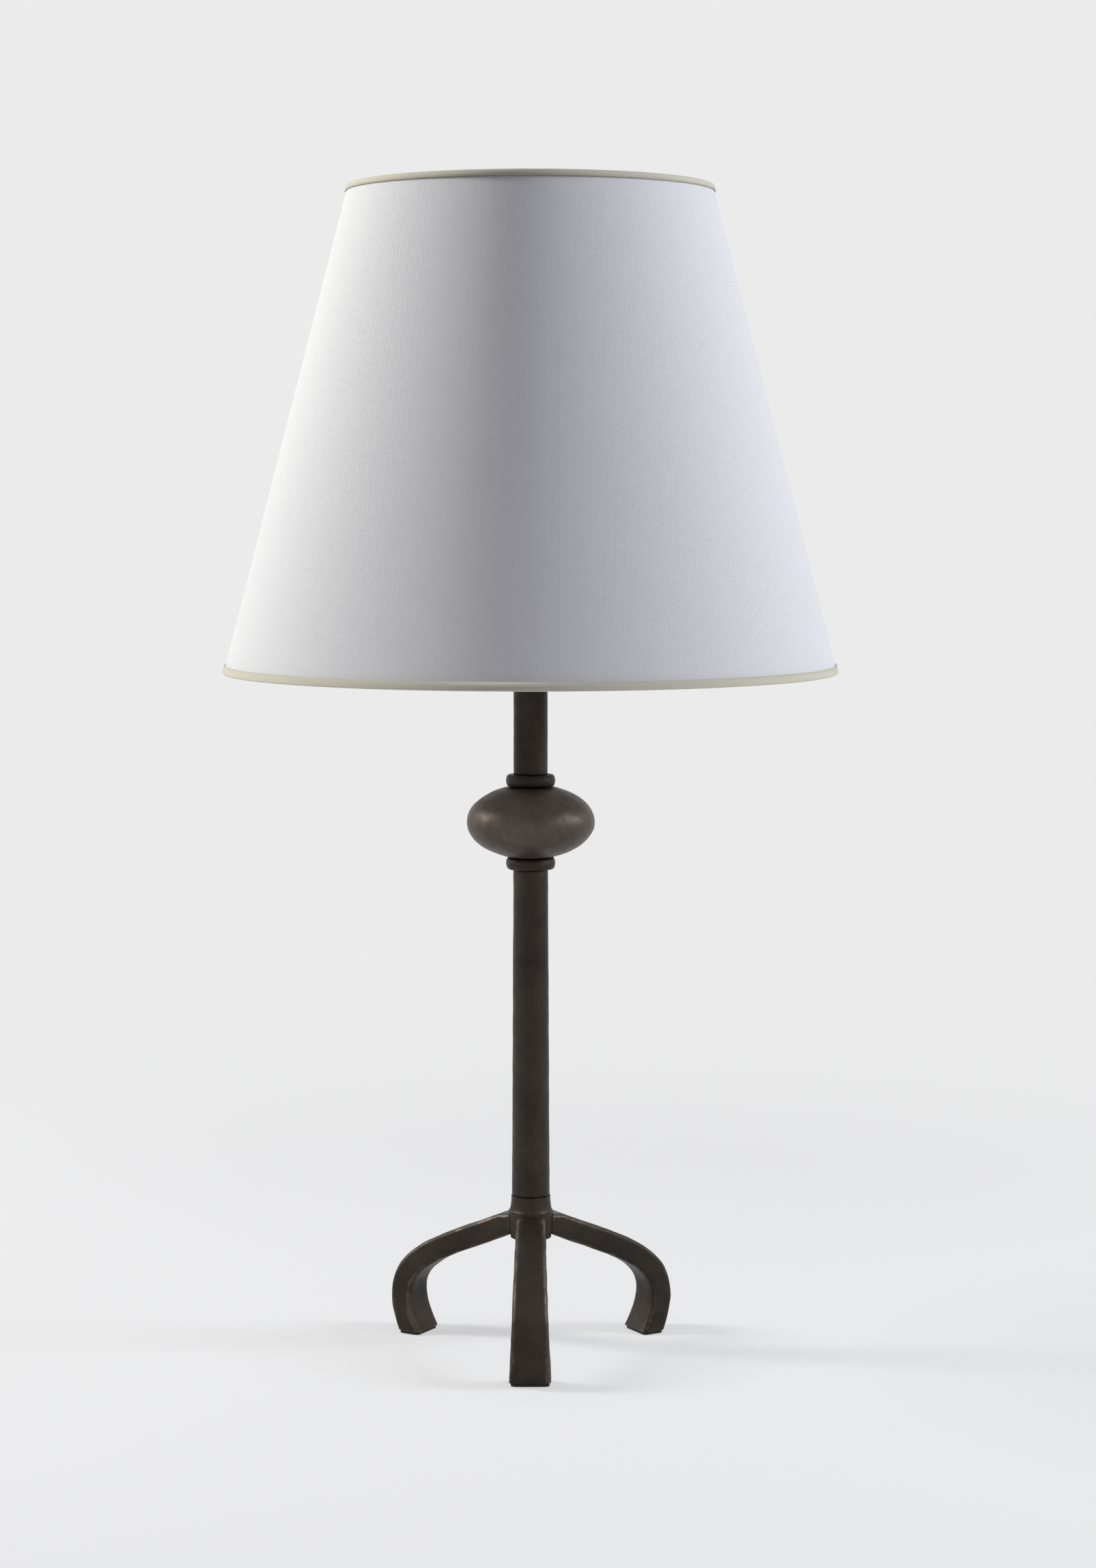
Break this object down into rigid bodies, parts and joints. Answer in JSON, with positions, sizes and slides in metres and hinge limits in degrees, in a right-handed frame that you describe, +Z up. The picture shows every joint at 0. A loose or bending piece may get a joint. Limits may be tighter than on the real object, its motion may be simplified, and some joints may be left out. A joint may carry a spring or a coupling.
{
  "type": "table lamp",
  "caption": "Table lamp with an arched iron tripod, a slender stem with a flattened knop, and a tapered hardback fabric shade on a harp.",
  "frame": {"origin": "on the floor under the stem", "axes": "+Z up the stem, -Y towards the front leg, +X to the right seen from the front"},
  "size_m": [0.356, 0.356, 0.677],
  "materials": {
    "iron": "blackened and waxed, satin, with a faint brown cast on the edges",
    "rubber": "matte",
    "steel": "zinc plated",
    "brass": "satin, slightly aged",
    "black_plastic": "moulded, semi-matte",
    "liner_card": "plain fibre",
    "contact_metal": "pressed, bright",
    "opal_glass": "frosted inside",
    "linen": "plain linen weave laminated to a stiff backing",
    "styrene": "matte white",
    "white_wire": "white enamel"
  },
  "bodies": {
    "base": {"front_leg": "iron", "right_leg": "iron", "left_leg": "iron", "hub": "iron", "clamp_plate": "iron", "lower_stem": "iron", "lower_collar": "iron", "knop": "iron", "upper_collar": "iron", "neck": "iron", "front_foot_pad": "rubber", "right_foot_pad": "rubber", "left_foot_pad": "rubber", "lock_washer": "steel", "bottom_nut": "steel", "threaded_rod": "steel", "cord_bush": "black_plastic", "neck_cap": "brass", "harp_saddle": "brass", "socket_cap": "brass", "socket_set_screw": "steel", "socket_shell": "brass", "socket_liner": "liner_card", "socket_body": "black_plastic", "live_terminal_screw": "brass", "neutral_terminal_screw": "brass", "screw_shell": "contact_metal", "centre_contact": "brass"},
    "switch": {"switch_shaft": "brass", "switch_knob": "black_plastic"},
    "bulb": {"bulb_tip": "contact_metal", "bulb_insulator": "black_plastic", "bulb_cap": "contact_metal", "bulb_globe": "opal_glass", "bulb_stem": "opal_glass"},
    "harp": {"harp": "brass", "harp_stud": "brass"},
    "right_ferrule": {"right_ferrule": "brass"},
    "left_ferrule": {"left_ferrule": "brass"},
    "shade": {"shade_spider": "white_wire", "shade_bottom_ring": "white_wire", "shade_backing": "styrene", "shade_cover": "linen", "top_trim": "linen", "bottom_trim": "linen"},
    "finial": {"finial": "brass"}
  },
  "joints": [
    {"name": "switch_turn", "type": "hinge", "parent": "base", "child": "switch", "pos_m": [0, -0.03, 0.44521], "axis": [0, -1, 0], "continuous": true},
    {"name": "bulb_turn", "type": "hinge", "parent": "base", "child": "bulb", "pos_m": [0, 0, 0.47], "axis": [0, 0, 1], "range_deg": [0, 1080]},
    {"name": "harp_lift", "type": "slide", "parent": "base", "child": "harp", "axis": [0, 0, 1], "range_m": [0, 0.14]},
    {"name": "right_ferrule_slide", "type": "slide", "parent": "harp", "child": "right_ferrule", "axis": [0, 0, 1], "range_m": [0, 0.012]},
    {"name": "left_ferrule_slide", "type": "slide", "parent": "harp", "child": "left_ferrule", "axis": [0, 0, 1], "range_m": [0, 0.012]},
    {"name": "shade_turn", "type": "hinge", "parent": "harp", "child": "shade", "pos_m": [0, 0, 0.66], "axis": [0, 0, 1], "continuous": true},
    {"name": "finial_turn", "type": "hinge", "parent": "harp", "child": "finial", "pos_m": [0, 0, 0.665], "axis": [0, 0, 1], "range_deg": [0, 1080]}
  ]
}
